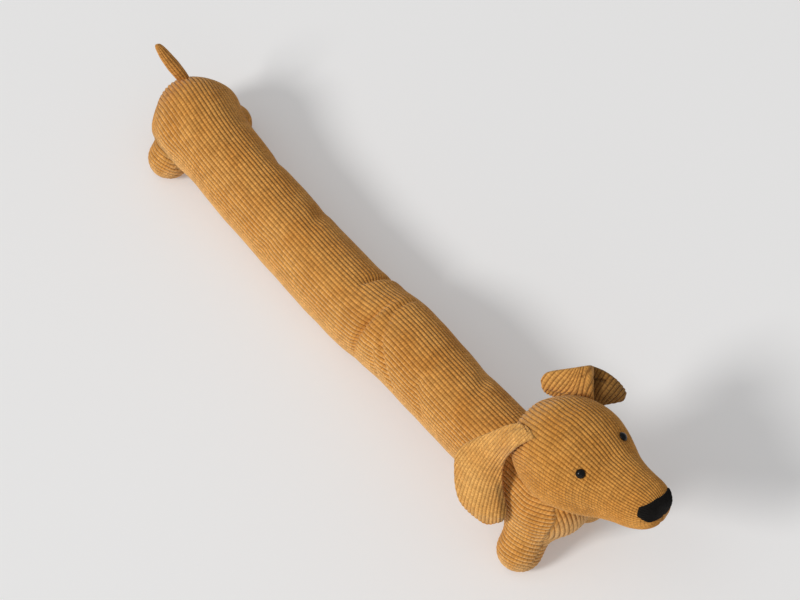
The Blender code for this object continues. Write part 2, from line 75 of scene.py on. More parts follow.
# x, y and z of the body's middle line, half width, half height
BODY_ROWS = (
    (-0.32, 0.006, 0.065, 0.0, 0.0),
    (-0.318, 0.006, 0.065, 0.0115, 0.0118),
    (-0.312, 0.006, 0.0648, 0.023, 0.0232),
    (-0.302, 0.006, 0.0645, 0.0332, 0.0338),
    (-0.288, 0.006, 0.0642, 0.042, 0.043),
    (-0.27, 0.005, 0.0632, 0.0474, 0.0489),
    (-0.25, 0.003, 0.061, 0.049, 0.0503),
    (-0.225, 0.001, 0.057, 0.0482, 0.049),
    (-0.19, 0.0, 0.052, 0.0472, 0.0475),
    (-0.15, 0.0, 0.048, 0.047, 0.047),
    (-0.1, 0.0, 0.0452, 0.0472, 0.047),
    (-0.05, 0.0, 0.0446, 0.0475, 0.047),
    (0.0, 0.0, 0.0445, 0.0478, 0.047),
    (0.05, 0.001, 0.0452, 0.0482, 0.0475),
    (0.085, 0.002, 0.05, 0.049, 0.0485),
    (0.12, 0.004, 0.059, 0.05, 0.0495),
    (0.16, 0.004, 0.065, 0.049, 0.049),
    (0.2, 0.003, 0.067, 0.048, 0.0485),
    (0.25, 0.003, 0.068, 0.0472, 0.048),
    (0.3, 0.004, 0.0695, 0.0475, 0.0485),
    (0.35, 0.005, 0.0715, 0.0485, 0.0495),
    (0.385, 0.006, 0.0735, 0.0485, 0.049),
    (0.41, 0.006, 0.0745, 0.0465, 0.0465),
    (0.43, 0.007, 0.075, 0.041, 0.0405),
    (0.445, 0.007, 0.075, 0.032, 0.0315),
    (0.454, 0.007, 0.075, 0.021, 0.0205),
    (0.458, 0.007, 0.075, 0.011, 0.011),
    (0.4595, 0.007, 0.075, 0.0, 0.0),
)
# Spacing of the body's rings along x, closest where it is creased
BODY_SPACING = (
    (-0.325, 0.0022), (-0.212, 0.0022), (-0.204, 0.005), (0.052, 0.005), (0.062, 0.0014),
    (0.13, 0.0014), (0.136, 0.0025), (0.185, 0.0025), (0.195, 0.0048), (0.34, 0.0048),
    (0.35, 0.0026), (0.4, 0.0022), (0.408, 0.0014), (0.46, 0.0014),
)
# Creases, hollows and bulges: x, slant, turn from the top and its reach in degrees, depth (below 0 for a
# bulge), reach along x, share of it on the front side
DENTS = (
    (0.0676, 0.003, 42, 35, 0.0072, 0.0062, 0.36),
    (0.078, 0.003, 44, 34, -0.0014, 0.008, 1.0),
    (0.1126, -0.001, -44, 46, 0.0062, 0.006, 0.36),
    (0.1225, -0.004, -36, 42, -0.0014, 0.007, 1.0),
    (0.1372, -0.0118, -25, 25, 0.0021, 0.0046, 0.55),
    (0.123, -0.0012, 24, 30, 0.0021, 0.0048, 0.55),
    (0.147, -0.01, -76, 22, 0.0024, 0.006, 0.6),
    (0.166, -0.024, -66, 28, 0.0034, 0.0066, 0.6),
    (0.215, -0.001, -34, 36, 0.0018, 0.0055, 0.6),
    (0.2245, -0.0146, -60, 26, 0.0026, 0.008, 0.7),
    (-0.062, 0.0047, -54, 28, 0.0018, 0.01, 0.8),
    (-0.051, -0.0117, 42, 36, 0.0026, 0.01, 0.8),
    (0.259, -0.015, 38, 36, 0.0028, 0.011, 0.8),
    (-0.15, 0.006, 72, 30, 0.002, 0.012, 1.0),
    (0.352, -0.012, 30, 40, 0.0026, 0.008, 0.8),
    (-0.268, 0.0, -112, 52, -0.0075, 0.03, 1.0),
    (-0.264, 0.0, 112, 52, -0.0075, 0.03, 1.0),
    (-0.294, 0.0, -127, 34, -0.0078, 0.018, 1.0),
    (0.408, 0.0, -112, 50, -0.0045, 0.028, 1.0),
    (0.406, 0.0, 112, 50, -0.0045, 0.028, 1.0),
)
# hip, foot, hip radius, foot radius, side
LEGS = {
    "leg_hind_right": ((-0.265, -0.013, 0.062), (-0.2635, -0.041, 0.0235), 0.025, 0.0255, -1),
    "leg_hind_left": ((-0.261, 0.022, 0.062), (-0.258, 0.048, 0.0235), 0.025, 0.0252, 1),
    "leg_front_right": ((0.413, -0.013, 0.066), (0.4215, -0.045, 0.024), 0.0262, 0.0262, -1),
    "leg_front_left": ((0.412, 0.026, 0.066), (0.419, 0.054, 0.024), 0.026, 0.026, 1),
}
# Half width of the chest gusset at each height
CHEST_SEAM = ((0.036, 0.056), (0.052, 0.048), (0.068, 0.036), (0.08, 0.031), (0.091, 0.025), (0.103, 0.02))
UNDER_SEAM_TURN = 145.0
# Where the underside's seam ends and the chest's begins, how far off each is put elsewhere
UNDER_SEAM_END, CHEST_SEAM_START, SEAM_AWAY = (0.425, 0.44), (0.44, 0.428), 0.05
# Ribs turn level round the chest between these places, as on a tube of this radius
LEVEL_BETWEEN, LEVEL_RADIUS = (0.398, 0.418), 0.0468
GUSSET_FIRST_RIB = 0.37
# On the legs: reach and radius of the cloth's own measure, its heights inside, the seam, the tuck and the
# painted shade in it
LEG_CLOTH_REACH, LEG_CLOTH_RADIUS, GUSSET_TO_LEG = 0.03, 0.026, (0.066, 0.044)
LEG_SEAM_IN, LEG_SEAM_CALM, TUCK_REACH, TUCK_SHADE = 0.004, 0.72, 0.0042, 0.8
LEG_AROUND = 132
# Where rump and nape start to close, and the turn of the rib that runs straight over each
RUMP_FROM, NAPE_FROM = -0.238, 0.016
RUMP_MIDDLE, NAPE_MIDDLE = radians(-21.0), radians(-34.0)

# The head's own frame: X to the nose, Z up
HEAD_AT = (0.409, 0.02, 0.165)
HEAD_YAW, HEAD_PITCH_UP, HEAD_ROLL = 9.0, 14.0, -5.0
# x, y and z of the middle line, half width, rise above it, drop below it
HEAD_ROWS = (
    (-0.057, 0.0, 0.0, 0.0, 0.0, 0.0),
    (-0.0552, 0.0, 0.0, 0.013, 0.013, 0.013),
    (-0.0495, 0.0, 0.0, 0.027, 0.027, 0.027),
    (-0.039, 0.0003, 0.0, 0.041, 0.041, 0.0405),
    (-0.022, 0.0006, 0.0, 0.0535, 0.0525, 0.052),
    (-0.002, 0.0009, 0.0, 0.0614, 0.0595, 0.057),
    (0.016, 0.0011, 0.0, 0.0636, 0.0595, 0.057),
    (0.034, 0.0012, 0.0, 0.0616, 0.0552, 0.056),
    (0.05, 0.0013, -0.001, 0.0562, 0.0484, 0.0542),
    (0.066, 0.0015, -0.003, 0.0476, 0.0398, 0.0508),
    (0.08, 0.0018, -0.005, 0.04, 0.0326, 0.0466),
    (0.094, 0.0021, -0.007, 0.0356, 0.0296, 0.0416),
    (0.108, 0.0026, -0.009, 0.0333, 0.0276, 0.0364),
    (0.122, 0.0031, -0.01, 0.0303, 0.025, 0.0308),
    (0.134, 0.0036, -0.011, 0.0243, 0.02, 0.0234),
    (0.141, 0.0039, -0.012, 0.0147, 0.0125, 0.0139),
    (0.144, 0.0039, -0.012, 0.0, 0.0, 0.0),
)
HEAD_SPACING, HEAD_AROUND = 0.00135, 400
# Moves of the head's cloth: place, reach and depth
CHEEK_HOLLOW, CHEEK_REACH, CHEEK_DEPTH = (-0.0065, -0.0581, 0.0095), 0.026, 0.0042
PUCKER_AT, PUCKER_REACH, PUCKER_DEPTH = (0.0735, -0.003), (0.006, 0.016), 0.0017
EYE_SEAT_REACH, EYE_SEAT_DEPTH = 0.0085, 0.0013
# The ribs are lower on the muzzle
MUZZLE_X, MUZZLE_RIBS = (0.05, 0.1), (1.0, 0.8)
# Ribs in each radian round the head, along its length
HEAD_RIBS = ((-0.06, 12.2), (0.018, 12.2), (0.05, 11.4), (0.08, 9.7), (0.105, 8.8), (0.15, 8.6))

# Points over each ear, root to tip, three across
HANGING_EAR_ROWS = (
    ((0.3819, -0.0091, 0.2066), (0.3931, -0.0114, 0.2121), (0.4016, -0.0142, 0.2146)),
    ((0.366, -0.014, 0.196), (0.378, -0.026, 0.198), (0.3911, -0.031, 0.1963)),
    ((0.343, -0.035, 0.165), (0.363, -0.044, 0.159), (0.3773, -0.0359, 0.1482)),
    ((0.328, -0.061, 0.14), (0.36, -0.06, 0.132), (0.3858, -0.0439, 0.1168)),
    ((0.338, -0.076, 0.115), (0.37, -0.069, 0.109), (0.3968, -0.047, 0.0955)),
    ((0.355, -0.083, 0.092), (0.384, -0.073, 0.089), (0.4045, -0.053, 0.0858)),
    ((0.3729, -0.0792, 0.0776), (0.3907, -0.071, 0.0728), (0.402, -0.0565, 0.0738)),
    ((0.381, -0.077, 0.0751), (0.392, -0.0716, 0.0716), (0.399, -0.0636, 0.0712)),
)
# Across and up the hanging ear, the line that its ribs keep to, as up and across, and their spacing
EAR_ACROSS, EAR_UP = (0.6157, 0.788, 0.0), (-0.6646, 0.5192, 0.5373)
EAR_RIB_LINE = (
    (-0.27, 0.1632), (-0.2562, 0.1636), (-0.2405, 0.1647), (-0.2283, 0.167), (-0.2115, 0.1714),
    (-0.1959, 0.1781), (-0.1803, 0.1882), (-0.1613, 0.2038), (-0.1479, 0.2172), (-0.13, 0.237),
)
EAR_RIB_PITCH = 0.0041
FOLDED_EAR_ROWS = (
    ((0.342, 0.047, 0.176), (0.339, 0.048, 0.181), (0.336, 0.049, 0.184)),
    ((0.348, 0.051, 0.17), (0.345, 0.051, 0.185), (0.336, 0.057, 0.195)),
    ((0.36, 0.062, 0.164), (0.361, 0.064, 0.187), (0.352, 0.076, 0.205)),
    ((0.377, 0.072, 0.164), (0.373, 0.075, 0.189), (0.36, 0.089, 0.207)),
    ((0.388, 0.075, 0.168), (0.378, 0.084, 0.19), (0.362, 0.095, 0.205)),
    ((0.393, 0.079, 0.166), (0.376, 0.09, 0.177), (0.36, 0.103, 0.193)),
    ((0.393, 0.091, 0.162), (0.386, 0.102, 0.176), (0.372, 0.112, 0.188)),
    ((0.395, 0.103, 0.159), (0.394, 0.111, 0.171), (0.384, 0.12, 0.176)),
    ((0.398, 0.111, 0.158), (0.398, 0.117, 0.165), (0.392, 0.123, 0.166)),
    ((0.398, 0.116, 0.157), (0.398, 0.119, 0.159), (0.396, 0.122, 0.16)),
)
# Pressed folds on the ears: start and stop as shares of length and width, depth, reach, and how dark the
# painted shade in the fold is
HANGING_FOLDS = (
    ((0.0, 0.02), (0.0, 0.98), 0.001, 0.002, 1.7),
    ((0.045, 0.04), (0.022, 0.62), 0.0016, 0.0015, 1.1),
    ((0.06, 0.6), (0.3, 0.74), 0.001, 0.004, 0.0),
    ((0.05, 0.25), (0.22, 0.3), 0.001, 0.0024, 0.2),
)
FOLDED_FOLDS = (
    ((0.5, 0.7), (0.665, 0.73), 0.003, 0.0018, 2.0),
    ((0.335, 0.78), (0.35, 0.78), 0.0024, 0.0011, 1.6),
    ((0.12, 0.3), (0.4, 0.22), 0.0018, 0.0022, 0.6),
)
# Ear parts turned from the light: from which share of length and width, how softly, how dark
HANGING_SHADES = ((0.42, 0.86, 0.05, 1.35),)
FOLDED_SHADES = ((0.53, -1.0, 0.015, 1.6),)
EAR_THICKNESS = 0.0048
EAR_ROLL = 0.0032
# Points along and across each ear
HANGING_EAR_GRID, FOLDED_EAR_GRID = (176, 100), (200, 84)
# Slant of the folded ear's ribs, share of its length where they stand straight, its reach
FOLDED_SLANT, FOLDED_STRAIGHT, FOLDED_STRAIGHT_REACH = 0.62, 0.4, 0.1
FOLDED_RIB_PITCH = PITCH * 0.92

# x, y and z of the tail's middle line, half width, half depth
TAIL_ROWS = (
    (-0.29, 0.019, 0.082, 0.0, 0.0),
    (-0.293, 0.018, 0.085, 0.0054, 0.005),
    (-0.299, 0.016, 0.09, 0.0058, 0.0054),
    (-0.307, 0.013, 0.101, 0.007, 0.0062),
    (-0.316, 0.009, 0.114, 0.0076, 0.0066),
    (-0.324, 0.005, 0.127, 0.0066, 0.0056),
    (-0.33, 0.002, 0.138, 0.005, 0.0044),
    (-0.333, 0.0, 0.144, 0.0032, 0.003),
    (-0.334, 0.0, 0.146, 0.0, 0.0),
)
TAIL_RINGS, TAIL_AROUND, TAIL_RIBS, TAIL_LENGTH = 70, 72, 12, 0.075
TAIL_RIB_SHARE, TAIL_FULL_RIBS = 0.62, 0.006

EYE_FORWARD, EYE_SIDE, EYE_SHIFT = 0.0612, 0.0348, 0.0012
# The eye's dome: radius, foot, rise. Its rim: radius and height
EYE_DOME, EYE_DOME_FOOT, EYE_DOME_RISE = 0.0048, 0.001, 0.0028
EYE_RIM = ((0.0049, 0.0014), (0.0053, 0.0011), (0.00545, 0.0006), (0.0053, 0.0001), (0.0049, -0.0004))
EYE_AROUND = 48
# The nose patch is cast from inside the muzzle: its reach to the side and in height, in degrees
NOSE_FROM = (0.118, 0.0031, -0.011)
NOSE_TURN, NOSE_LIFT, NOSE_LIFT_REACH = 64.0, 18.0, 27.0
# Degrees taken off both top corners, and off the far one
NOSE_CORNERS, NOSE_FAR_CORNER = 7.0, 16.0
NOSE_THICKNESS, NOSE_EDGE, NOSE_GRID = 0.0018, 0.16, 61

# Colours of each cloth: the ribs' backs, the painted shade in the channels (also used between beads and for
# random darker patches), the brushed patches
BODY_COLOURS = (0.64, 0.274, 0.052), (0.235, 0.078, 0.012), (0.75, 0.362, 0.086)
HEAD_COLOURS = (0.61, 0.264, 0.048), (0.22, 0.073, 0.011), (0.71, 0.336, 0.074)
HANGING_EAR_COLOURS = (0.71, 0.345, 0.086), (0.32, 0.125, 0.025), (0.82, 0.435, 0.124)
FOLDED_EAR_COLOURS = (0.69, 0.325, 0.075), (0.25, 0.092, 0.019), (0.77, 0.388, 0.1)
TAIL_COLOURS = (0.62, 0.27, 0.055), (0.22, 0.076, 0.014), (0.72, 0.34, 0.08)
FELT_COLOURS = (0.0035, 0.0028, 0.0022), (0.011, 0.009, 0.007)
PLASTIC_COLOURS = (0.002, 0.002, 0.002), (0.006, 0.005, 0.005)
FLOOR_COLOURS = (0.716, 0.711, 0.706), (0.744, 0.739, 0.734)
# Painted light: a paler colour painted where the body faces the key light, on its -Y side and its chest, and
# where that shows: direction, from and to which dot product
PAINTED_LIGHT_COLOUR = (0.8, 0.48, 0.19)
PAINTED_LIGHT_SIDE, PAINTED_LIGHT_FRONT = ((0.0, -1.0, 0.0), 0.72, 0.98), ((0.94, -0.3, -0.15), 0.55, 0.92)

# The photo's view: target, turn and lift in degrees, distance
VIEW_TARGET, VIEW_TURN, VIEW_LIFT, VIEW_AWAY = (0.06186, 0.06298, 0.0), 52.0, 57.5, 4.0


# Curves and tables
def smooth_rows(rows, at):
    """Columns of a table at values of its first column, without overshoot."""
    rows = np.array(rows, float)
    key = rows[:, 0]
    at = np.clip(np.asarray(at, float), key[0], key[-1])
    steps = np.diff(key)
    index = np.clip(np.searchsorted(key, at, side="right") - 1, 0, len(key) - 2)
    share = (at - key[index]) / steps[index]
    found = [at]
    for column in rows.T[1:]:
        slopes = np.diff(column) / steps
        before = np.concatenate([slopes[:1], slopes])
        after = np.concatenate([slopes, slopes[-1:]])
        left = np.concatenate([steps[:1], steps])
        right = np.concatenate([steps, steps[-1:]])
        mean = (right * before + left * after) / (left + right)
        least = 2.5 * np.minimum(np.abs(before), np.abs(after))
        tangent = np.where(before * after > 0, np.sign(mean) * np.minimum(np.abs(mean), least), 0.0)
        value = (2 * share**3 - 3 * share**2 + 1) * column[index]
        value = value + (3 * share**2 - 2 * share**3) * column[index + 1]
        value = value + steps[index] * (share**3 - 2 * share**2 + share) * tangent[index]
        value = value + steps[index] * (share**3 - share**2) * tangent[index + 1]
        found.append(value)
    return found


def end_radius(rows, at, column):
    """A half width read through its square, so that closed ends are round."""
    squared = [(row[0], row[column] ** 2) for row in rows]
    return np.sqrt(np.maximum(smooth_rows(squared, at)[1], 0.0))


def curve_through(points, at):
    """Smooth curve through points, at shares of its length."""
    points = np.array(points, float)
    padded = np.concatenate([[2 * points[0] - points[1]], points, [2 * points[-1] - points[-2]]])
    at = np.asarray(at, float) * (len(points) - 1)
    index = np.minimum(at.astype(int), len(points) - 2)
    share = (at - index)[:, None]
    p0, p1, p2, p3 = (padded[index + k] for k in range(4))
    curve = 2 * p1 + (p2 - p0) * share + (2 * p0 - 5 * p1 + 4 * p2 - p3) * share**2
    return 0.5 * (curve + (3 * p1 - p0 - 3 * p2 + p3) * share**3)


def step_over(low, high, value):
    """Soft step from 0 at low to 1 at high."""
    share = np.clip((value - low) / (high - low), 0.0, 1.0)
    return share * share * (3 - 2 * share)


def bell(off, reach, power=2):
    """1 in the middle, falling softly to 0 past reach. A higher power has a flatter top."""
    return np.exp(-((off / reach) ** power))


def lengths(ways):
    return np.linalg.norm(ways, axis=-1)


def unit(ways):
    return ways / np.maximum(lengths(ways), 1e-12)[..., None]


def swell(points, amount):
    """Soft random rise and fall, the same on every run."""
    height, size, seed = amount
    random = np.random.default_rng(seed)
    total = np.zeros(len(points))
    for _ in range(SWELL_WAVES):
        way = random.normal(size=3)
        way = way / np.linalg.norm(way)
        wave = 2 * pi / (size * random.uniform(0.7, 1.6))
        total = total + np.sin(points @ way * wave + random.uniform(0, 2 * pi))
    return height * (total / math.sqrt(SWELL_WAVES))


def spaced(rows, spacing):
    """Places between a table's ends whose distance along its profile follows spacing(x)."""
    start, stop = rows[0][0], rows[-1][0]
    share = np.linspace(0, 1, 12001)
    x = start + (stop - start) * (1 - np.cos(pi * share)) / 2
    run = np.hypot(np.diff(x), np.diff(end_radius(rows, x, 3))) / spacing((x[1:] + x[:-1]) / 2)
    total = np.concatenate([[0.0], np.cumsum(run)])
    count = int(round(total[-1]))
    return np.interp(np.linspace(0, total[-1], count + 1), total, x)[1:-1]


def closing(rows, x, start):
    """Half width as a share of that at start, up to there, then 1."""
    widest = end_radius(rows, np.array([start]), 3)[0]
    return np.where(x < start, end_radius(rows, x, 3) / widest, 1.0)


def rib_rise(rib):
    """Height of a rib's rounded back above its mean level."""
    edge = np.abs(2 * (rib - np.floor(rib)) - 1)
    return RIB_HEIGHT * (0.66 - edge**2.3)


def over_the_end(turn, share, middle):
    """Signed angle that keeps the ribs near the middle one side by side over a rounded end."""
    off = (turn - middle + pi) % (2 * pi) - pi
    level = middle + np.arcsin(np.clip(share, 0, 1) * np.sin(np.clip(off, -pi / 2, pi / 2)))
    return turn + (level - turn) * side_by_side(turn, middle)


def side_by_side(turn, middle):
    """1 where ribs run side by side over a rounded end, 0 further round."""
    off = (turn - middle + pi) % (2 * pi) - pi
    return 1 - step_over(0.70, 1.80, np.abs(off))


# The long body and its legs
def body_line(x):
    y, z = smooth_rows([row[:3] for row in BODY_ROWS], x)[1:]
    return y, z, end_radius(BODY_ROWS, x, 3), end_radius(BODY_ROWS, x, 4)


def off_middle(points):
    """Place along the body, and how far across and up from its middle line."""
    x = np.clip(points[:, 0], BODY_ROWS[0][0], BODY_ROWS[-1][0])
    y, z = body_line(x)[:2]
    return x, points[:, 1] - y, points[:, 2] - z


def body_dents(x, turn):
    """Depth of the creases and hollows, at turns in degrees."""
    sunk = np.zeros_like(x)
    for at, slant, side, side_reach, depth, reach, front in DENTS:
        off = (turn - side + 180.0) % 360.0 - 180.0
        along = (x - at - slant * off / side_reach) / reach
        along = np.where(along > 0, along / front, along)
        sunk = sunk + depth * np.exp(-(along**2)) * bell(off, side_reach, 4)
    return sunk


def body_distance(points):
    start, stop = BODY_ROWS[0][0] + 2e-4, BODY_ROWS[-1][0] - 2e-4
    x = np.clip(points[:, 0], start, stop)
    y, z, wide, tall = body_line(x)
    across, up = (points[:, 1] - y) / wide, (points[:, 2] - z) / tall
    small = 0.0004
    slope = (end_radius(BODY_ROWS, x + small, 3) - end_radius(BODY_ROWS, x - small, 3)) / (2 * small)
    lean = np.sqrt(1 + np.clip(slope, -STEEPEST, STEEPEST) ** 2)
    away = (np.hypot(across, up) - 1) * (wide + tall) / 2 / lean
    sunk = body_dents(x, np.degrees(np.arctan2(across, up)))
    return away + sunk + np.abs(points[:, 0] - x)


def leg_distance(points, leg):
    hip, foot = np.array(leg[0]), np.array(leg[1])
    axis = foot - hip
    share = np.clip((points - hip) @ axis / (axis @ axis), 0.0, 1.0)
    reach = leg[2] + (leg[3] - leg[2]) * share
    return lengths(points - hip - share[:, None] * axis) - reach


def joined(points):
    """Distance from the skin of body and legs, run smoothly into each other."""
    total = body_distance(points)
    for leg in LEGS.values():
        other = leg_distance(points, leg)
        blend = BLEND if leg[0][0] > 0 else 0.6 * BLEND
        mix = np.clip(0.5 + 0.5 * (other - total) / blend, 0.0, 1.0)
        total = other * (1 - mix) + total * mix - blend * mix * (1 - mix)
    return total


def onto_skin(points, outward):
    """Moves points along their outward ways until they lie on the joined skin."""
    moved = np.zeros(len(points))
    for _ in range(6):
        miss = joined(points + outward * moved[:, None])
        moved = np.clip(moved - 0.9 * miss, -0.006, 0.030)
    return points + outward * moved[:, None]


def skin_normals(points):
    here = joined(points)
    small = 0.0003
    slope = np.stack([joined(points + small * np.eye(3)[k]) - here for k in range(3)], 1)
    return unit(slope)


def leg_axes(leg):
    """Hip, foot and the leg's ways down, outward and forward."""
    hip, foot = np.array(leg[0]), np.array(leg[1])
    down = (foot - hip) / np.linalg.norm(foot - hip)
    out = np.array([0.0, down[2], -down[1]]) * -leg[4]
    out = out / np.linalg.norm(out)
    return hip, foot, down, out, np.cross(out, down) * -leg[4]


def leg_start(leg, inner):
    """The cloth's measure at the hip, so that ribs carry on from the body down the leg."""
    hip, foot, down, out, _ = leg_axes(leg)
    share = np.linspace(0, 1, 200)[:, None]
    line = hip + (foot - hip) * share + out * (leg[2] * (-1 if inner else 1))
    at = line[np.argmin(np.abs(body_distance(line)))]
    y, z = body_line(at[:1])[:2]
    if inner:
        return abs(at[1] - y[0]) - (at - hip) @ down
    return BODY_RADIUS * abs(math.atan2(at[1] - y[0], at[2] - z[0])) - (at - hip) @ down


def cloth_on_body(points):
    """Rib count, bead count, seam mark and tuck mark at each point of the skin."""
    x, across, up = off_middle(points)
    side = np.where(across < 0, -1.0, 1.0)
    signed = np.arctan2(across, up)
    turn = np.abs(signed)
    polar = BODY_RADIUS * over_the_end(signed, closing(BODY_ROWS, x, RUMP_FROM), RUMP_MIDDLE)
    level = BODY_RADIUS * np.arccos(np.clip(up / LEVEL_RADIUS, -1, 1))
    front = step_over(*LEVEL_BETWEEN, x)
    panel = polar * (1 - front) + level * front * side
    gusset = np.abs(across)
    along = points[:, 0].copy()
    seam = BODY_RADIUS * (turn - radians(UNDER_SEAM_TURN))
    chest = np.interp(points[:, 2], *zip(*CHEST_SEAM)) - np.abs(across)
    seam = seam - SEAM_AWAY * step_over(*UNDER_SEAM_END, x)
    seam = np.maximum(seam, chest - SEAM_AWAY * step_over(*CHEST_SEAM_START, x))
    from_body = body_distance(points)
    calm, tuck = np.ones_like(x), np.zeros_like(x)
    for leg in LEGS.values():
        hip, foot, down, out, fore = leg_axes(leg)
        near = leg_distance(points, leg)
        weight = np.clip(0.5 + (from_body - near) / LEG_CLOTH_REACH, 0, 1)
        weight = weight * weight * (3 - 2 * weight) * (side == leg[4])
        length = np.linalg.norm(foot - hip)
        down_leg = (points - hip) @ down
        past = np.clip((down_leg - length) / leg[3], 0, 1)
        down_leg = np.minimum(down_leg, length) + leg[3] * np.arcsin(past)
        off = points - hip
        round_leg = LEG_CLOTH_RADIUS * np.arctan2(off @ fore, off @ out)
        panel = panel * (1 - weight) + weight * (leg_start(leg, False) + down_leg) * side
        under = weight * step_over(*GUSSET_TO_LEG, points[:, 2])
        gusset = gusset * (1 - under) + under * (leg_start(leg, True) + down_leg)
        along = along * (1 - weight) + weight * (hip[0] + round_leg)
        seam = seam * (1 - weight) + weight * (LEG_SEAM_IN - off @ out)
        if hip[0] < 0:
            tuck = np.maximum(tuck, bell(from_body - near, TUCK_REACH) * (side == leg[4]))
        calm = calm * (1 - LEG_SEAM_CALM * weight)
    rib = np.where(seam > 0, gusset * side / PITCH + GUSSET_FIRST_RIB, panel / PITCH)
    return rib, along / CELL, calm * bell(seam, SEAM_REACH), tuck


def dress_skin(points):
    """Raises ribs, sinks seams and sets the skin round the head."""
    normals = skin_normals(points)
    rib, along, seam_and_shade, tuck = cloth_on_body(points)
    _, across, up = off_middle(points)
    keep = step_over(0.0, 0.45, np.hypot(across, up) / BODY_RADIUS)
    beside = side_by_side(np.arctan2(across, up), RUMP_MIDDLE)
    keep = np.where(points[:, 0] < 0, np.maximum(keep, beside), keep)
    rise = rib_rise(rib) * keep * (1 - SEAM_CALM * seam_and_shade) - BODY_SEAM_DEPTH * seam_and_shade - TUCK_DEPTH * tuck
    rise = rise + swell(points, BODY_SWELL)
    dressed = points + normals * rise[:, None]
    dressed = clear_of_head(dressed, HEAD_GAP)
    dressed[:, 2] = np.maximum(dressed[:, 2], FLOOR)
    # The seam's darkening, with painted shade added in the tuck under the body's overhang at each hind leg
    return dressed, rib, along, np.maximum(seam_and_shade, TUCK_SHADE * tuck)


def body_skin():
    x = spaced(BODY_ROWS, lambda at: np.interp(at, *zip(*BODY_SPACING)))
    around = BODY_RIBS * SAMPLES
    y, z, wide, tall = body_line(x)
    turn = np.arange(around) * (2 * pi / around)
    sin, cos = np.sin(turn)[None, :], np.cos(turn)[None, :]
    flat = ring_grid(x, y, z, wide, tall[:, None], sin, cos).reshape(-1, 3)
    slope = np.clip(np.gradient(wide, x), -STEEPEST, STEEPEST)
    outward = np.stack([np.repeat(-slope, around), np.tile(sin[0], len(x)), np.tile(cos[0], len(x))], 1)
    outward = unit(outward)
    inside = np.zeros(len(flat), bool)
    for leg in LEGS.values():
        inside |= leg_distance(flat, leg) < -HIDDEN_DEPTH
    flat = onto_skin(flat, outward)
    flat, rib, along, seam_and_shade = dress_skin(flat)
    poles = np.array([BODY_ROWS[0][:3], BODY_ROWS[-1][:3]])
    flat = np.concatenate([poles[:1], flat, poles[1:]])
    faces = in_the_open(loft_faces(len(x), around), np.concatenate([[False], inside, [False]]))
    return cloth_piece("body_skin", flat, faces, *map(with_poles, (rib, along, seam_and_shade)))


def leg_skin(name, leg):
    """A leg as a tube with a rounded foot, with ribs running round it."""
    hip, foot, down, out, fore = leg_axes(leg)
    length = np.linalg.norm(foot - hip)
    rows = []
    for at in np.arange(0.0, length, PITCH / SAMPLES):
        rows.append((at, leg[2] + (leg[3] - leg[2]) * at / length, 0.0))
    for lift in np.arange(0.0, pi / 2 - 0.02, PITCH / SAMPLES / leg[3]):
        rows.append((length + leg[3] * math.sin(lift), leg[3] * math.cos(lift), lift))
    turn = np.arange(LEG_AROUND) * (2 * pi / LEG_AROUND)
    points, outward = [], []
    for at, radius, lift in rows:
        way = out * np.cos(turn)[:, None] + fore * np.sin(turn)[:, None]
        points.append(hip + down * at + way * radius)
        outward.append(way * math.cos(lift) + down * math.sin(lift))
    flat, outward = np.concatenate(points), np.concatenate(outward)
    inside = body_distance(flat) < -HIDDEN_DEPTH
    flat = onto_skin(flat, outward)
    flat, rib, along, seam_and_shade = dress_skin(flat)
    tip = foot + down * leg[3]
    tip[2] = max(tip[2], FLOOR)
    flat = np.concatenate([flat[:1], flat, [tip]])
    faces = [face for face in loft_faces(len(rows), LEG_AROUND) if 0 not in face]
    faces = in_the_open(faces, np.concatenate([[True], inside, [False]]))
    return cloth_piece(name, flat, faces, *map(with_poles, (rib, along, seam_and_shade)))


# The head
HEAD_FRAME = (
    Matrix.Translation(HEAD_AT)
    @ Matrix.Rotation(radians(HEAD_YAW), 4, "Z")
    @ Matrix.Rotation(-radians(HEAD_PITCH_UP), 4, "Y")
    @ Matrix.Rotation(radians(HEAD_ROLL), 4, "X")
)
TO_WORLD = np.array(HEAD_FRAME)
TO_HEAD = np.array(HEAD_FRAME.inverted())


def moved_by(matrix, points):
    return points @ matrix[:3, :3].T + matrix[:3, 3]


def head_line(x):
    y, z = smooth_rows([row[:3] for row in HEAD_ROWS], x)[1:]
    return y, z, *(end_radius(HEAD_ROWS, x, column) for column in (3, 4, 5))


def clear_of_head(points, gap):
    """Moves what lies inside the head out to its surface, straight off the head's own axis."""
    local = moved_by(TO_HEAD, points)
    x = np.clip(local[:, 0], HEAD_ROWS[0][0] + 1e-3, HEAD_ROWS[-1][0] - 1e-3)
    y, z, wide, rise, drop = head_line(x)
    across, up = local[:, 1] - y, local[:, 2] - z
    tall = np.where(up > 0, rise, drop)
    share = np.hypot(across / wide, up / tall)
    reach = np.hypot(across, up)
    want = reach / np.maximum(share, 1e-6) + gap
    within = (reach < want) & (np.abs(local[:, 0] - x) < 1e-9) & (reach > 0.004)
    grow = np.where(within, want / np.maximum(reach, 1e-6), 1.0)
    local[:, 1] = y + across * grow
    local[:, 2] = z + up * grow
    return np.where(within[:, None], moved_by(TO_WORLD, local), points)


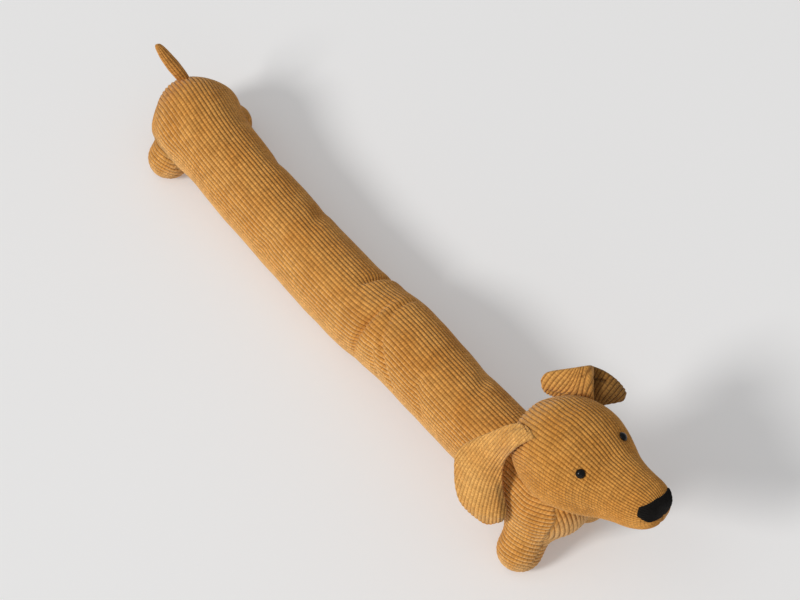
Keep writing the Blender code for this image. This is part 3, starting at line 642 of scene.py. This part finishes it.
def head_skin():
    x = spaced(HEAD_ROWS, lambda at: HEAD_SPACING + 0 * at)
    around = HEAD_AROUND
    y, z, wide, rise, drop = head_line(x)
    turn = np.arange(around) * (2 * pi / around)
    signed = np.where(turn > pi, turn - 2 * pi, turn)
    sin, cos = np.sin(turn)[None, :], np.cos(turn)[None, :]
    tall = np.where(cos > 0, rise[:, None], drop[:, None])
    grid = ring_grid(x, y, z, wide, tall, sin, cos)
    run = np.gradient(grid, axis=0)
    over = np.gradient(np.concatenate([grid[:, -1:], grid, grid[:, :1]], 1), axis=1)[:, 1:-1]
    normal = unit(np.cross(over, run))
    outward = np.stack([0 * sin + 0 * x[:, None], sin + 0 * x[:, None], cos + 0 * x[:, None]], 2)
    normal = normal * np.sign((normal * outward).sum(2))[:, :, None]
    count = smooth_rows(HEAD_RIBS, x)[1]
    share = closing(HEAD_ROWS, x, NAPE_FROM)[:, None]
    rib = count[:, None] * over_the_end(signed[None, :], share, NAPE_MIDDLE)
    flat, normal = grid.reshape(-1, 3), normal.reshape(-1, 3)
    arc = np.concatenate([[0.0], np.cumsum(np.hypot(np.diff(x), np.diff(wide)))])
    along = np.repeat(arc / CELL, around)
    rib = rib.reshape(-1)
    under = (pi - np.abs(signed))[None, :] * wide[:, None]
    seam_and_shade = bell(under, SEAM_REACH).reshape(-1)
    keep = step_over(0.05, 0.40, wide / 0.0600)[:, None]
    beside = side_by_side(signed, NAPE_MIDDLE)[None, :]
    keep = np.where(x[:, None] < 0, np.maximum(keep, beside), keep).reshape(-1)
    amount = np.repeat(np.interp(x, MUZZLE_X, MUZZLE_RIBS), around)
    push = rib_rise(rib) * keep * amount * (1 - SEAM_CALM * seam_and_shade) - HEAD_SEAM_DEPTH * seam_and_shade
    push = push + swell(flat, HEAD_SWELL)
    pucker = bell(flat[:, 0] - PUCKER_AT[0], PUCKER_REACH[0])
    pucker = pucker * bell(flat[:, 1] - PUCKER_AT[1], PUCKER_REACH[1], 4)
    push = push - PUCKER_DEPTH * pucker * (flat[:, 2] > 0)
    far = lengths(flat - np.array(CHEEK_HOLLOW))
    push = push - CHEEK_DEPTH * bell(far, CHEEK_REACH)
    for side in (-1, 1):
        at = np.array(head_surface(EYE_FORWARD, side * EYE_SIDE + EYE_SHIFT)[0])
        far = lengths(flat - at)
        push = push - EYE_SEAT_DEPTH * bell(far, EYE_SEAT_REACH, 4)
    flat = flat + normal * push[:, None]
    poles = np.array([HEAD_ROWS[0][:3], HEAD_ROWS[-1][:3]])
    flat = moved_by(TO_WORLD, np.concatenate([poles[:1], flat, poles[1:]]))
    return cloth_piece("head_skin", flat, loft_faces(len(x), around), *map(with_poles, (rib, along, seam_and_shade)))


def head_surface(forward, sideways):
    """Place and normal on top of the head, in its own frame."""

    def height(x, y):
        middle, z, wide, rise, _ = (value[0] for value in head_line([x]))
        return z + rise * math.sqrt(max(0.0, 1 - ((y - middle) / wide) ** 2))

    small = 0.001
    slope_x = (height(forward + small, sideways) - height(forward - small, sideways)) / (2 * small)
    slope_y = (height(forward, sideways + small) - height(forward, sideways - small)) / (2 * small)
    place = Vector((forward, sideways, height(forward, sideways)))
    return place, Vector((-slope_x, -slope_y, 1.0)).normalized()


# Meshes
def placed(name, data):
    made = bpy.data.objects.new(name, data)
    bpy.context.scene.collection.objects.link(made)
    return made


def ring_grid(x, y, z, wide, tall, sin, cos):
    """Rings of points round a middle line."""
    return np.stack([x[:, None] + 0 * sin, y[:, None] + wide[:, None] * sin, z[:, None] + tall * cos], 2)


def with_poles(values):
    return np.concatenate([[values[0]], values, [values[-1]]])


def in_the_open(faces, inside):
    """Faces with at least one point outside the neighbouring skin."""
    return [face for face in faces if not inside[list(face)].all()]


def loft_faces(rings, around):
    """Faces of a closed loft whose points run first pole, rings, last pole."""
    faces = []
    last = 1 + rings * around
    for side in range(around):
        after = (side + 1) % around
        faces.append((0, 1 + after, 1 + side))
        end = 1 + (rings - 1) * around
        faces.append((end + side, end + after, last))
    for ring in range(rings - 1):
        here = 1 + ring * around
        there = here + around
        for side in range(around):
            after = (side + 1) % around
            faces.append((here + side, here + after, there + after, there + side))
    return faces


def mesh_piece(name, points, faces):
    """A smooth mesh of the points in use, and which ones they are."""
    used = np.zeros(len(points), bool)
    for face in faces:
        used[list(face)] = True
    index = np.cumsum(used) - 1
    mesh = bpy.data.meshes.new(name)
    mesh.from_pydata(points[used].tolist(), [], [tuple(int(index[v]) for v in face) for face in faces])
    mesh.polygons.foreach_set("use_smooth", [True] * len(mesh.polygons))
    mesh.update()
    return placed(name, mesh), used


def cloth_piece(name, points, faces, rib, along, seam_and_shade):
    made, used = mesh_piece(name, points, faces)
    for label, values in (("rib", rib), ("along", along), ("seam_and_shade", seam_and_shade)):
        layer = made.data.attributes.new(label, "FLOAT", "POINT")
        layer.data.foreach_set("value", np.asarray(values, np.float32)[used])
    return made


# Ears and tail
def ear_piece(name, rows, counts, rib_of, ends, folds, shades):
    """Two layers stitched round the edge and turned, so that the edge is rolled. The seam round the edge is
    darkened, and painted shade darkens its folds and the parts turned from the light.
    """
    long_count, cross_count = counts
    u = np.linspace(0, 1, long_count)
    even = np.linspace(0, 1, cross_count)
    v = 0.55 * even + 0.45 * (1 - np.cos(pi * even)) / 2
    lines = [curve_through([row[k] for row in rows], u) for k in range(3)]
    grid = np.array([curve_through([line[i] for line in lines], v) for i in range(long_count)])
    run, over = np.gradient(grid, axis=0), np.gradient(grid, axis=1)
    normal = unit(np.cross(run, over))
    steps = np.cumsum(lengths(np.diff(grid, axis=1)), 1)
    cross = np.concatenate([np.zeros((long_count, 1)), steps], 1)
    middle = grid[:, cross_count // 2]
    length = np.concatenate([[0.0], np.cumsum(lengths(np.diff(middle, axis=0)))])
    width = cross[:, -1:]
    to_side = np.minimum(cross, width - cross)
    to_end = np.minimum(length / ends[0], (length[-1] - length) / ends[1])[:, None]
    edge = np.clip(np.minimum(to_side, to_end + 1e-9) / EAR_ROLL, 0, 1)
    round_edge = np.sqrt(1 - (1 - edge) ** 2)
    rib, along = rib_of(cross - width / 2, length[:, None] + 0 * cross, grid)
    rise = rib_rise(rib) * round_edge * 0.85
    puff = swell(grid.reshape(-1, 3), EAR_SWELL).reshape(rise.shape)
    place = np.stack([0 * cross + length[:, None], cross - width / 2], 2)
    seam_and_shade = bell(to_side, SEAM_REACH) * 0.5
    for (start_u, start_v), (stop_u, stop_v), depth, reach, shade in folds:
        ends_at = []
        for at_u, at_v in ((start_u, start_v), (stop_u, stop_v)):
            row = int(round(at_u * (long_count - 1)))
            ends_at.append(np.array([length[row], (at_v - 0.5) * width[row, 0]]))
        line = ends_at[1] - ends_at[0]
        share = np.clip((place - ends_at[0]) @ line / (line @ line), 0, 1)
        far = lengths(place - ends_at[0] - share[:, :, None] * line)
        puff = puff - depth * bell(far, reach)
        # Painted shade down in each fold
        seam_and_shade = np.maximum(seam_and_shade, shade * bell(far, reach))
    half = EAR_THICKNESS / 2 * round_edge
    top = grid + normal * (half + rise + puff)[:, :, None]
    low = grid - normal * (half + rise - puff)[:, :, None]
    inner = np.ones((long_count, cross_count), bool)
    inner[0] = inner[-1] = inner[:, 0] = inner[:, -1] = False
    top_index = np.arange(long_count * cross_count).reshape(long_count, cross_count)
    low_index = top_index.copy()
    low_index[inner] = long_count * cross_count + np.arange(inner.sum())
    points = np.concatenate([top.reshape(-1, 3), low[inner]])
    faces = []
    for i in range(long_count - 1):
        for j in range(cross_count - 1):
            faces.append((top_index[i, j], top_index[i, j + 1], top_index[i + 1, j + 1], top_index[i + 1, j]))
            faces.append((low_index[i, j], low_index[i + 1, j], low_index[i + 1, j + 1], low_index[i, j + 1]))
    # Painted shade on the ear parts turned from the light
    for start_u, start_v, soft, shade in shades:
        reached = step_over(start_u - soft, start_u + soft, u)[:, None]
        reached = reached * step_over(start_v - soft, start_v + soft, v)
        seam_and_shade = np.maximum(seam_and_shade, shade * reached)
    both = [np.concatenate([values.reshape(-1), values[inner]]) for values in (rib, along, seam_and_shade)]
    return cloth_piece(name, points, faces, *both)


def hanging_ribs(_across, length, grid):
    """Ribs that run off the ear's back edge and down to its tip."""
    sideways, up = grid @ np.array(EAR_ACROSS), grid @ np.array(EAR_UP)
    line = smooth_rows(EAR_RIB_LINE, up.reshape(-1))[1].reshape(up.shape)
    return (sideways - line) / EAR_RIB_PITCH, length / CELL


def folded_ribs(across, length, _grid):
    """Ribs slanting over the ear, and standing straight where it is folded."""
    straight = bell(length / length.max() - FOLDED_STRAIGHT, FOLDED_STRAIGHT_REACH)
    slant = FOLDED_SLANT * (1 - 0.85 * straight)
    return (length - across * slant) / 1.16 / FOLDED_RIB_PITCH, (length * slant + across) / 1.16 / CELL


def tail_skin():
    """A narrow turned tube with ribs along it."""
    stations = np.array(TAIL_ROWS)
    u = np.linspace(0, 1, TAIL_RINGS)
    centre = curve_through(stations[:, :3], u)
    spread = u * (len(stations) - 1)
    wide = np.sqrt(np.interp(spread, range(len(stations)), stations[:, 3] ** 2))
    tall = np.sqrt(np.interp(spread, range(len(stations)), stations[:, 4] ** 2))
    run = unit(np.gradient(centre, axis=0))
    turn = np.arange(TAIL_AROUND) * (2 * pi / TAIL_AROUND)
    rib = turn / (2 * pi) * TAIL_RIBS
    points, rib_all, along_all = [centre[0]], [0.0], [0.0]
    for i in range(1, len(u) - 1):
        side = np.cross(run[i], (0.0, 1.0, 0.0))
        side = side / np.linalg.norm(side)
        over = np.cross(side, run[i])
        rise = rib_rise(rib) * TAIL_RIB_SHARE * min(1.0, wide[i] / TAIL_FULL_RIBS)
        points.extend(
            centre[i]
            + side * ((tall[i] + rise) * np.cos(turn))[:, None]
            + over * ((wide[i] + rise) * np.sin(turn))[:, None]
        )
        rib_all.extend(rib)
        along_all.extend([TAIL_LENGTH * u[i] / CELL] * TAIL_AROUND)
    points.append(centre[-1])
    rib_all.append(0.0)
    along_all.append(TAIL_LENGTH / CELL)
    points = np.array(points)
    rib_all, along_all = np.array(rib_all), np.array(along_all)
    faces = in_the_open(loft_faces(TAIL_RINGS - 2, TAIL_AROUND), body_distance(points) < -TAIL_HIDDEN_DEPTH)
    return cloth_piece("tail_skin", points, faces, rib_all, along_all, 0 * rib_all)


# Nose and eyes
def nose_patch(head):
    """Felt patch over the tip of the muzzle, with a rounded edge."""
    tree = BVHTree.FromPolygons(
        [vertex.co.copy() for vertex in head.data.vertices],
        [tuple(face.vertices) for face in head.data.polygons],
    )
    start = HEAD_FRAME @ Vector(NOSE_FROM)
    turn_only = HEAD_FRAME.to_3x3()
    count = NOSE_GRID
    even = np.linspace(-1, 1, count)
    marks = np.sin(even * pi / 2) * 0.35 + even * 0.65
    top, low = [], []
    for a in marks:
        for b in marks:
            turn = a * math.sqrt(1 - 0.10 * b * b)
            lift = b * math.sqrt(1 - 0.16 * a * a)
            narrow = 1.0 - 0.34 * max(0.0, -lift)
            yaw = radians(NOSE_TURN * turn * narrow)
            pitch = NOSE_LIFT + NOSE_LIFT_REACH * lift - NOSE_CORNERS * turn * turn * lift
            pitch = radians(pitch - NOSE_FAR_CORNER * max(0.0, turn) * max(0.0, lift))
            way = Vector((math.cos(pitch) * math.cos(yaw), math.cos(pitch) * math.sin(yaw), math.sin(pitch)))
            way = turn_only @ way
            hit = tree.ray_cast(start, way)[0]
            edge = min(1.0, (1 - max(abs(a), abs(b))) / NOSE_EDGE)
            rise = math.sqrt(1 - (1 - edge) ** 2)
            top.append(hit + way * (0.0002 + NOSE_THICKNESS * rise))
            low.append(hit - way * 0.0008)
    points = np.array([tuple(p) for p in top + low])
    under = count * count
    faces = []
    for i in range(count - 1):
        for j in range(count - 1):
            a = i * count + j
            faces.append((a, a + 1, a + count + 1, a + count))
            faces.append((under + a, under + a + count, under + a + count + 1, under + a + 1))
    for k in range(count - 1):
        rows = (k, k + 1), (under - count + k + 1, under - count + k)
        sides = ((k + 1) * count, k * count), (k * count + count - 1, (k + 1) * count + count - 1)
        for a, b in rows + sides:
            faces.append((b, a, under + a, under + b))
    return mesh_piece("nose_patch", points, faces)[0]


def eye_button(name, side):
    """Domed plastic eye with a thin rim, seated in the cloth."""
    at, normal = head_surface(EYE_FORWARD, side * EYE_SIDE + EYE_SHIFT)
    profile = [(0.0, EYE_DOME_FOOT + EYE_DOME_RISE)]
    for turn in np.radians((12, 24, 36, 48, 60, 70, 78)):
        profile.append((EYE_DOME * math.sin(turn), EYE_DOME_FOOT + EYE_DOME_RISE * math.cos(turn)))
    profile.extend(EYE_RIM)
    around = EYE_AROUND
    points, faces = [(0.0, 0.0, profile[0][1])], []
    for radius, height in profile[1:]:
        for k in range(around):
            turn = 2 * pi * k / around
            points.append((radius * math.cos(turn), radius * math.sin(turn), height))
    points.append((0.0, 0.0, EYE_RIM[-1][1]))
    faces = [tuple(reversed(face)) for face in loft_faces(len(profile) - 1, around)]
    made = mesh_piece(name, np.array(points), faces)[0]
    place = HEAD_FRAME @ Matrix.Translation(at)
    made.data.transform(place @ normal.to_track_quat("Z", "Y").to_matrix().to_4x4())
    return made


# Materials
class Nodes:
    """Short calls for a material's nodes."""

    def __init__(self, name):
        self.material = bpy.data.materials.new(name)
        self.material.use_nodes = True
        self.tree = self.material.node_tree
        self.shader = self.tree.nodes["Principled BSDF"]

    def add(self, kind, **settings):
        made = self.tree.nodes.new(kind)
        for key, value in settings.items():
            setattr(made, key, value)
        return made

    def feed(self, socket, value):
        if isinstance(value, (int, float)):
            socket.default_value = value
        elif isinstance(value, tuple):
            socket.default_value = value if len(value) == 4 else (*value, 1.0)
        else:
            self.tree.links.new(value, socket)

    def feed_all(self, made, settings):
        for key, value in settings.items():
            self.feed(made.inputs[key], value)

    def put(self, label, value):
        """Sets one of the shader's own sockets, or links a varying value to it."""
        self.feed(self.shader.inputs[label], value)

    def maths(self, operation, *values):
        made = self.add("ShaderNodeMath", operation=operation)
        for socket, value in zip(made.inputs, values):
            self.feed(socket, value)
        return made.outputs[0]

    def times(self, first, second):
        return self.maths("MULTIPLY", first, second)

    def from_middle(self, count):
        """0 in the middle of each whole count, 1 at its edges."""
        twice = self.times(self.maths("FRACT", count), 2.0)
        return self.maths("ABSOLUTE", self.maths("SUBTRACT", twice, 1.0))

    def ramp(self, value, low, high, to_low=0.0, to_high=1.0):
        made = self.add("ShaderNodeMapRange", interpolation_type="SMOOTHSTEP")
        ends = {"From Min": low, "From Max": high, "To Min": to_low, "To Max": to_high}
        self.feed_all(made, {"Value": value, **ends})
        return made.outputs[0]

    def mix(self, share, first, second):
        made = self.add("ShaderNodeMix", data_type="RGBA", blend_type="MIX")
        self.feed(made.inputs[0], share)
        self.feed(made.inputs[6], first)
        self.feed(made.inputs[7], second)
        return made.outputs[2]

    def noise(self, scale, detail=3.0):
        where = self.add("ShaderNodeTexCoord").outputs["Object"]
        made = self.add("ShaderNodeTexNoise")
        self.feed_all(made, {"Vector": where, "Scale": scale, "Detail": detail, "Roughness": 0.55})
        return made.outputs["Fac"]

    def measure(self, name):
        return self.add("ShaderNodeAttribute", attribute_name=name).outputs["Fac"]

    def facing(self, way, low, high):
        """How far the surface looks one way, from 0 at the low dot product to 1 at the high one."""
        dot = self.add("ShaderNodeVectorMath", operation="DOT_PRODUCT")
        self.feed(dot.inputs[0], self.add("ShaderNodeTexCoord").outputs["Normal"])
        dot.inputs[1].default_value = way
        return self.ramp(dot.outputs["Value"], low, high)

    def bump(self, height, distance):
        made = self.add("ShaderNodeBump")
        self.feed_all(made, {"Height": height, "Distance": distance, "Strength": 1.0})
        self.put("Normal", made.outputs["Normal"])


def corduroy(name, colours, channels=0.72, gaps=0.17, painted_light=0.0):
    """Wide corduroy: pile standing in beads along each rib, with painted shade down in the channels and
    between the beads, and where asked, painted light on the sides that face the key light.
    """
    back, valley, light = colours
    n = Nodes(name)
    rib, along = n.measure("rib"), n.measure("along")
    edge = n.from_middle(rib)
    channel = n.ramp(edge, 0.56, 0.97)
    wobble = n.times(n.maths("SUBTRACT", n.noise(260.0, 1.0), 0.5), 0.5)
    bead = n.maths("ADD", along, wobble)
    gap = n.ramp(n.from_middle(bead), 0.40, 1.0)
    which = n.add("ShaderNodeCombineXYZ")
    n.feed(which.inputs[0], n.maths("FLOOR", rib))
    n.feed(which.inputs[1], n.maths("FLOOR", bead))
    chance = n.add("ShaderNodeTexWhiteNoise", noise_dimensions="2D")
    n.feed(chance.inputs["Vector"], which.outputs[0])
    each = n.ramp(chance.outputs["Value"], 0.0, 1.0, 0.90, 1.10)
    pile = n.noise(1900.0, 2.0)
    tuft = n.noise(620.0, 2.0)
    brushed = n.noise(26.0, 3.0)
    colour = n.mix(n.ramp(brushed, 0.30, 0.72), back, light)
    colour = n.mix(n.ramp(n.noise(80.0, 2.0), 0.45, 0.80, 0.0, 0.16), colour, valley)
    # Painted light: a paler colour on the sides that face the key light
    if painted_light:
        facing = n.maths("MAXIMUM", n.facing(*PAINTED_LIGHT_SIDE), n.facing(*PAINTED_LIGHT_FRONT))
        colour = n.mix(n.times(facing, painted_light), colour, PAINTED_LIGHT_COLOUR)
    # Painted shade between the beads and down in the channels
    colour = n.mix(n.times(gap, gaps), colour, valley)
    colour = n.mix(n.times(channel, channels), colour, valley)
    shade = n.times(n.ramp(pile, 0.30, 0.72, 0.84, 1.16), n.ramp(tuft, 0.30, 0.70, 0.88, 1.12))
    shade = n.times(shade, each)
    # Darker along seams, and darker still with painted shade in folds, in the tuck over each hind leg and on
    # ear parts turned from the light
    shade = n.times(shade, n.maths("SUBTRACT", 1.0, n.times(n.measure("seam_and_shade"), 0.35)))
    made = n.add("ShaderNodeVectorMath", operation="SCALE")
    n.feed(made.inputs[0], colour)
    n.feed(made.inputs["Scale"], shade)
    n.put("Base Color", made.outputs[0])
    n.put("Roughness", n.ramp(pile, 0.2, 0.8, 0.86, 0.98))
    height = n.times(gap, -0.45)
    height = n.times(height, n.maths("SUBTRACT", 1.0, n.times(channel, 0.7)))
    height = n.maths("ADD", height, n.times(pile, 0.34))
    height = n.maths("ADD", height, n.times(tuft, 0.45))
    n.bump(height, 0.0008)
    n.put("Specular IOR Level", 0.16)
    n.put("Sheen Weight", 0.40)
    n.put("Sheen Roughness", 0.36)
    n.put("Sheen Tint", (1.0, 0.87, 0.66, 1.0))
    return n.material


def felt(name):
    n = Nodes(name)
    fine, coarse = n.noise(2200.0, 3.0), n.noise(320.0, 3.0)
    n.put("Base Color", n.mix(n.ramp(fine, 0.3, 0.75), *FELT_COLOURS))
    n.put("Roughness", n.ramp(coarse, 0.3, 0.7, 0.72, 0.90))
    n.bump(n.maths("ADD", n.times(fine, 0.6), n.times(coarse, 0.5)), 0.0004)
    n.put("Specular IOR Level", 0.14)
    n.put("Sheen Weight", 0.03)
    n.put("Sheen Roughness", 0.5)
    return n.material


def plastic(name):
    n = Nodes(name)
    dust, wear = n.noise(900.0, 3.0), n.noise(160.0, 4.0)
    n.put("Base Color", n.mix(n.ramp(wear, 0.3, 0.8), *PLASTIC_COLOURS))
    n.put("Roughness", n.ramp(dust, 0.35, 0.75, 0.16, 0.30))
    n.bump(wear, 0.00004)
    n.put("Specular IOR Level", 0.22)
    return n.material


# Floor, light and camera
def plain_floor():
    mesh = bpy.data.meshes.new("studio_floor")
    mesh.from_pydata([(-6, -6, 0), (6, -6, 0), (6, 6, 0), (-6, 6, 0)], [], [(0, 1, 2, 3)])
    floor = placed("studio_floor", mesh)
    n = Nodes("studio_floor_paint")
    n.put("Base Color", n.mix(n.noise(0.8, 2.0), *FLOOR_COLOURS))
    n.put("Roughness", 0.85)
    n.put("Specular IOR Level", 0.1)
    # The floor glows a little: painted light that lifts its shadows
    n.put("Emission Color", (1.0, 0.985, 0.97, 1.0))
    n.put("Emission Strength", 0.20)
    floor.data.materials.append(n.material)


def soft_light(name, place, aim, size, power, colour):
    data = bpy.data.lights.new(name, "AREA")
    data.shape = "DISK"
    data.size = size
    data.energy = power
    data.color = colour
    light = placed(name, data)
    light.location = place
    light.rotation_euler = (Vector(aim) - Vector(place)).to_track_quat("-Z", "Y").to_euler()


def studio():
    scene = bpy.context.scene
    data = bpy.data.cameras.new("camera")
    data.lens = 150.0
    data.sensor_width = 36.0
    data.clip_start = 0.1
    data.clip_end = 50.0
    camera = placed("camera", data)
    turn, lift = radians(VIEW_TURN), radians(VIEW_LIFT)
    back = Vector((math.sin(turn) * math.cos(lift), -math.cos(turn) * math.cos(lift), math.sin(lift)))
    camera.location = Vector(VIEW_TARGET) + back * VIEW_AWAY
    camera.rotation_euler = back.to_track_quat("Z", "Y").to_euler()
    scene.camera = camera
    sun = bpy.data.lights.new("key", "SUN")
    sun.energy = 1.8
    sun.angle = radians(15.0)
    sun.color = (1.0, 0.995, 0.985)
    key = placed("key", sun)
    key.rotation_euler = Vector((-0.09, -0.797, 0.595)).to_track_quat("Z", "Y").to_euler()
    soft_light("sky", (-0.5, -1.8, 3.4), (0, 0, 0), 3.0, 14.0, (1.0, 0.99, 0.98))
    soft_light("fill", (2.4, -1.5, 1.1), (0.3, 0, 0.05), 1.6, 4.0, (1.0, 1.0, 1.0))
    world = bpy.data.worlds.new("studio_world")
    world.use_nodes = True
    background = world.node_tree.nodes["Background"]
    background.inputs["Color"].default_value = (0.95, 0.97, 1.0, 1.0)
    background.inputs["Strength"].default_value = 0.36
    scene.world = world
    scene.view_settings.view_transform = "Standard"
    scene.view_settings.look = "None"


def main():
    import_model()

    studio()
    plain_floor()

    # The body's cloth gets painted light on the sides that face the key light
    body_cloth = corduroy("body_corduroy", BODY_COLOURS, painted_light=0.60)
    head_cloth = corduroy("head_corduroy", HEAD_COLOURS)
    ear_cloth = corduroy("hanging_ear_corduroy", HANGING_EAR_COLOURS, channels=0.52, gaps=0.10)
    fold_cloth = corduroy("folded_ear_corduroy", FOLDED_EAR_COLOURS)
    tail_cloth = corduroy("tail_corduroy", TAIL_COLOURS)

    dressed = [(body_skin(), body_cloth, "body_corduroy", "body")]
    dressed += [(leg_skin(name, leg), body_cloth, "body_corduroy", "body") for name, leg in LEGS.items()]
    head = head_skin()
    shape = HANGING_EAR_ROWS, HANGING_EAR_GRID, hanging_ribs, (0.4, 1.0)
    hanging = ear_piece("ear_right_sewn", *shape, HANGING_FOLDS, HANGING_SHADES)
    shape = FOLDED_EAR_ROWS, FOLDED_EAR_GRID, folded_ribs, (1.0, 1.0)
    folded = ear_piece("ear_left_sewn", *shape, FOLDED_FOLDS, FOLDED_SHADES)
    dressed += [
        (head, head_cloth, "head_corduroy", "head"),
        (hanging, ear_cloth, "hanging_ear_corduroy", "ear_right"),
        (folded, fold_cloth, "folded_ear_corduroy", "ear_left"),
        (tail_skin(), tail_cloth, "tail_corduroy", "tail"),
    ]
    dressed.append((nose_patch(head), felt("nose_felt"), "nose_cloth", "nose"))
    for name, side, slot in (("eye_right", -1, "right_eye_plastic"), ("eye_left", 1, "left_eye_plastic")):
        dressed.append((eye_button(name + "_button", side), plastic(name + "_gloss"), slot, name))

    for piece, material, slot, node in dressed:
        piece.data.materials.append(material)
        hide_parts(node)
    for piece, *_ in dressed:
        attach(piece, "root")


main()
